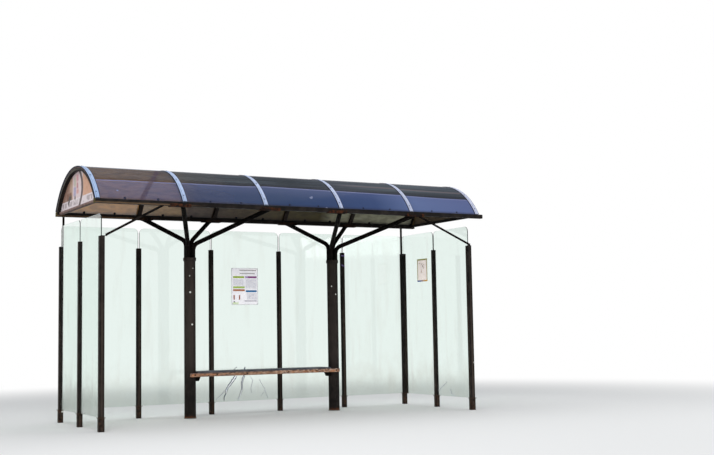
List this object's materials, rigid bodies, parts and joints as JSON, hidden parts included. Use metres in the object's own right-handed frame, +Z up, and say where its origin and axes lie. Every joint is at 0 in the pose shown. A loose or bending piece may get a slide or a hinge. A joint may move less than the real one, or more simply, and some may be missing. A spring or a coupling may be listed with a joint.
{
  "type": "bus shelter",
  "caption": "Bus shelter with a barrel-vault roof on two tree-like steel columns, glazed rear and side screens and a bench between the columns.",
  "frame": {"origin": "on the floor under the middle of the roof, seen in plan", "axes": "+X along the shelter, to the right seen from the open front; +Y to the rear screen; +Z up"},
  "size_m": [5.113, 1.701, 2.9479],
  "materials": {
    "dark_frame": "weathered satin paint, near black with a brown cast",
    "rusty_steel": "failed paint over brown rust",
    "roof_plastic": "smoked translucent sheet, dulled by weather",
    "strip_aluminium": "bright mill finish with two fine grooves",
    "gable_plastic": "clear sheet with a peach cast",
    "toughened_glass": "clear with a green cast, dusty at the foot, one pane cracked",
    "seat_board": "dark grey, worn",
    "worn_timber": "bare orange-brown wood with flakes of old paint",
    "printed_sheet": "matt print behind a thin cover"
  },
  "bodies": {
    "root": {"left_column": "dark_frame", "right_column": "dark_frame", "left_branch_front_outer": "dark_frame", "left_branch_front_inner": "dark_frame", "left_branch_rear_outer": "dark_frame", "left_branch_rear_inner": "dark_frame", "right_branch_front_outer": "dark_frame", "right_branch_front_inner": "dark_frame", "right_branch_rear_outer": "dark_frame", "right_branch_rear_inner": "dark_frame", "front_beam_shoes": "rusty_steel", "rear_beam_shoes": "rusty_steel", "front_eave_beam": "dark_frame", "rear_eave_beam": "dark_frame", "beam_end_caps": "rusty_steel", "arch_rib_1": "dark_frame", "arch_rib_2": "dark_frame", "arch_rib_3": "dark_frame", "arch_rib_4": "dark_frame", "arch_rib_5": "dark_frame", "arch_rib_6": "dark_frame", "roof_sheet_1": "roof_plastic", "roof_sheet_2": "roof_plastic", "roof_sheet_3": "roof_plastic", "roof_sheet_4": "roof_plastic", "roof_sheet_5": "roof_plastic", "cover_strips": "strip_aluminium", "left_gable_rail": "dark_frame", "right_gable_rail": "dark_frame", "left_gable_panel": "gable_plastic", "right_gable_panel": "gable_plastic", "rear_left_corner_post": "dark_frame", "rear_right_corner_post": "dark_frame", "rear_middle_posts": "dark_frame", "side_middle_posts": "dark_frame", "front_posts": "dark_frame", "rear_glass_1": "toughened_glass", "rear_glass_2": "toughened_glass", "rear_glass_3": "toughened_glass", "rear_glass_4": "toughened_glass", "rear_glass_5": "toughened_glass", "left_glass_rear": "toughened_glass", "left_glass_front": "toughened_glass", "right_glass_rear": "toughened_glass", "right_glass_front": "toughened_glass", "front_stays": "dark_frame", "corner_hangers": "dark_frame", "bench_seat": "seat_board", "bench_front_rail": "worn_timber", "bench_brackets": "dark_frame", "timetable_sheet": "printed_sheet"}
  },
  "joints": []
}
